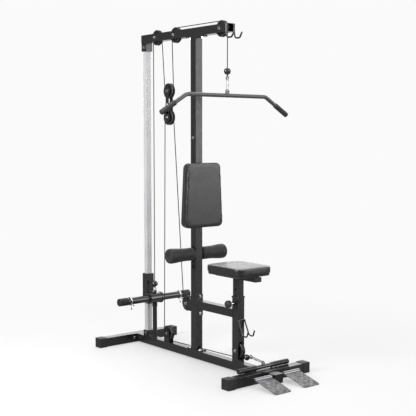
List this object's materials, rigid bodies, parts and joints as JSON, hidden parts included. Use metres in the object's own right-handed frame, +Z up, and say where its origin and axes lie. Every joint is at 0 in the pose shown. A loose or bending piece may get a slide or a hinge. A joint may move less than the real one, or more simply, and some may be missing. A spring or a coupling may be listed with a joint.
{
  "type": "cable tower",
  "caption": "Plate-loaded cable tower with a high pull-down bar, a low row handle, seat, back pad and knee rollers.",
  "frame": {"origin": "on the floor at the middle of the footprint", "axes": "+X to the right seen from in front of the seat, -Y from the upright towards the seat and footrest, +Y towards the weight rail, +Z up"},
  "size_m": [0.9708, 1.548, 2.039],
  "materials": {
    "powder_coat": "satin black powder coat",
    "rail_zinc": "bright zinc plate, fine vertical grain",
    "cap_rubber": "matt moulded rubber",
    "black_plastic": "matt moulded plastic",
    "board_plywood": "dark stained plywood",
    "vinyl": "black grained vinyl",
    "foam": "closed-cell foam skin",
    "grip_rubber": "ribbed rubber",
    "pulley_nylon": "black nylon",
    "bright_steel": "bright zinc and chrome",
    "cable_jacket": "black jacket over wire rope",
    "stop_rubber": "glossy black ball",
    "tread_steel": "grey tread pattern plate"
  },
  "bodies": {
    "frame": {"base_tube": "powder_coat", "front_foot": "powder_coat", "rear_foot": "powder_coat", "tube_end_caps": "cap_rubber", "plates_and_sockets": "powder_coat", "upright_lower": "powder_coat", "upright_upper": "powder_coat", "top_beam": "powder_coat", "guide_rail": "rail_zinc", "stop_post": "powder_coat", "pulley_brackets": "powder_coat", "seat_frame_tube": "powder_coat", "seat_post": "powder_coat", "seat_post_bush": "black_plastic", "accessory_hooks": "powder_coat", "footrest_bracket": "powder_coat", "back_pad_board": "board_plywood", "back_pad": "vinyl", "pulley_axles": "bright_steel", "frame_bolts": "bright_steel", "roller_rod": "bright_steel", "upper_cable_guided": "cable_jacket", "lower_cable_guided": "cable_jacket", "upper_cable_rear_drop": "cable_jacket", "upper_cable_front_drop": "cable_jacket", "float_cable_spans": "cable_jacket", "lower_cable_row_span": "cable_jacket"},
    "carriage": {"carriage_sleeve": "powder_coat", "carriage_bushes": "black_plastic", "weight_bar": "powder_coat", "weight_bar_caps": "black_plastic", "carriage_cable_stop": "stop_rubber"},
    "left_collar": {"collar_left": "bright_steel"},
    "right_collar": {"collar_right": "bright_steel"},
    "lat_cable_end": {"lat_cable_stop": "stop_rubber"},
    "lat_handle": {"lat_hook": "bright_steel", "lat_bar": "powder_coat", "lat_grips": "grip_rubber"},
    "floating_block": {"float_block": "powder_coat", "float_cable_wraps": "cable_jacket"},
    "seat": {"seat_support": "powder_coat", "seat_board": "board_plywood", "seat_pad": "vinyl"},
    "seat_lock": {"seat_pin": "black_plastic"},
    "left_roller": {"roller_left": "foam"},
    "right_roller": {"roller_right": "foam"},
    "left_tread": {"foot_plate_left": "tread_steel"},
    "right_tread": {"foot_plate_right": "tread_steel"},
    "row_cable_end": {"row_cable_stop": "stop_rubber"},
    "row_handle": {"row_hook": "bright_steel", "row_bar": "powder_coat", "row_grips": "grip_rubber"},
    "rear_top_pulley_wheel": {"rear_top_pulley": "pulley_nylon"},
    "mid_top_pulley_wheel": {"mid_top_pulley": "pulley_nylon"},
    "front_top_pulley_wheel": {"front_top_pulley": "pulley_nylon"},
    "float_upper_pulley_wheel": {"float_upper_pulley": "pulley_nylon"},
    "float_lower_pulley_wheel": {"float_lower_pulley": "pulley_nylon"},
    "base_rear_pulley_wheel": {"base_rear_pulley": "pulley_nylon"},
    "base_front_pulley_wheel": {"base_front_pulley": "pulley_nylon"},
    "mid_pulley_wheel": {"mid_pulley": "pulley_nylon"}
  },
  "joints": [
    {"name": "carriage_lift", "type": "slide", "parent": "frame", "child": "carriage", "axis": [0, 0, 1], "range_m": [0, 0.8], "deforming": ["upper_cable_rear_drop"]},
    {"name": "lat_pull", "type": "slide", "parent": "frame", "child": "lat_cable_end", "axis": [0, 0, -1], "range_m": [0, 0.8], "deforming": ["upper_cable_front_drop"]},
    {"name": "lat_bar_swivel", "type": "hinge", "parent": "lat_cable_end", "child": "lat_handle", "pos_m": [0, -0.1798, 1.705], "axis": [0, 0, 1], "range_deg": [-45, 45]},
    {"name": "row_pull", "type": "slide", "parent": "frame", "child": "row_cable_end", "axis": [0, -0.9704, 0.2415], "range_m": [0, 0.8], "stiffness_N_per_m": 20, "springref_m": -2, "deforming": ["lower_cable_row_span"]},
    {"name": "row_bar_swing", "type": "hinge", "parent": "row_cable_end", "child": "row_handle", "pos_m": [0, -0.39193, 0.10769], "axis": [0, 0, 1], "range_deg": [-12, 12]},
    {"name": "float_drop", "type": "slide", "parent": "frame", "child": "floating_block", "axis": [0, 0, -1], "range_m": [0, 0.4], "deforming": ["float_cable_spans"]},
    {"name": "left_collar_slide", "type": "slide", "parent": "carriage", "child": "left_collar", "axis": [-1, 0, 0], "range_m": [-0.13, 0.01]},
    {"name": "right_collar_slide", "type": "slide", "parent": "carriage", "child": "right_collar", "axis": [1, 0, 0], "range_m": [-0.13, 0.01]},
    {"name": "seat_height", "type": "slide", "parent": "frame", "child": "seat", "axis": [0, 0, 1], "range_m": [-0.08, 0.08]},
    {"name": "seat_pin_pull", "type": "slide", "parent": "frame", "child": "seat_lock", "axis": [-1, 0, 0], "range_m": [0, 0.012], "stiffness_N_per_m": 800, "springref_m": -0.004},
    {"name": "left_roller_spin", "type": "hinge", "parent": "frame", "child": "left_roller", "pos_m": [-0.124, 0.106, 0.655], "axis": [1, 0, 0], "continuous": true},
    {"name": "right_roller_spin", "type": "hinge", "parent": "frame", "child": "right_roller", "pos_m": [0.124, 0.106, 0.655], "axis": [1, 0, 0], "continuous": true},
    {"name": "left_tread_fold", "type": "hinge", "parent": "frame", "child": "left_tread", "pos_m": [-0.113, -0.606, 0.046], "axis": [-1, 0, 0], "range_deg": [0, 75]},
    {"name": "right_tread_fold", "type": "hinge", "parent": "frame", "child": "right_tread", "pos_m": [0.113, -0.606, 0.046], "axis": [-1, 0, 0], "range_deg": [0, 75]},
    {"name": "rear_top_pulley_spin", "type": "hinge", "parent": "frame", "child": "rear_top_pulley_wheel", "pos_m": [0, 0.498, 1.991], "axis": [1, 0, 0], "continuous": true},
    {"name": "mid_top_pulley_spin", "type": "hinge", "parent": "frame", "child": "mid_top_pulley_wheel", "pos_m": [0, 0.303, 1.991], "axis": [1, 0, 0], "continuous": true},
    {"name": "front_top_pulley_spin", "type": "hinge", "parent": "frame", "child": "front_top_pulley_wheel", "pos_m": [0, -0.135, 1.991], "axis": [1, 0, 0], "continuous": true},
    {"name": "float_upper_pulley_spin", "type": "hinge", "parent": "floating_block", "child": "float_upper_pulley_wheel", "pos_m": [0, 0.378, 1.652], "axis": [1, 0, 0], "continuous": true},
    {"name": "float_lower_pulley_spin", "type": "hinge", "parent": "floating_block", "child": "float_lower_pulley_wheel", "pos_m": [0, 0.378, 1.488], "axis": [1, 0, 0], "continuous": true},
    {"name": "base_rear_pulley_spin", "type": "hinge", "parent": "frame", "child": "base_rear_pulley_wheel", "pos_m": [0, 0.393, 0.112], "axis": [1, 0, 0], "continuous": true},
    {"name": "base_front_pulley_spin", "type": "hinge", "parent": "frame", "child": "base_front_pulley_wheel", "pos_m": [0, -0.284, 0.127], "axis": [1, 0, 0], "continuous": true},
    {"name": "mid_pulley_spin", "type": "hinge", "parent": "frame", "child": "mid_pulley_wheel", "pos_m": [0, 0.191, 0.337], "axis": [1, 0, 0], "continuous": true}
  ],
  "couplings": [
    {"joint": "lat_pull", "follows": "carriage_lift", "ratio": 1},
    {"joint": "rear_top_pulley_spin", "follows": "carriage_lift", "rad_per_m": 22.321},
    {"joint": "mid_top_pulley_spin", "follows": "carriage_lift", "rad_per_m": 22.321},
    {"joint": "front_top_pulley_spin", "follows": "carriage_lift", "rad_per_m": 22.321},
    {"joint": "float_upper_pulley_spin", "follows": "carriage_lift", "rad_per_m": -22.321},
    {"joint": "float_drop", "follows": "row_pull", "ratio": 0.5},
    {"joint": "base_front_pulley_spin", "follows": "row_pull", "rad_per_m": -22.321},
    {"joint": "base_rear_pulley_spin", "follows": "row_pull", "rad_per_m": -22.321},
    {"joint": "float_lower_pulley_spin", "follows": "row_pull", "rad_per_m": -11.161}
  ]
}
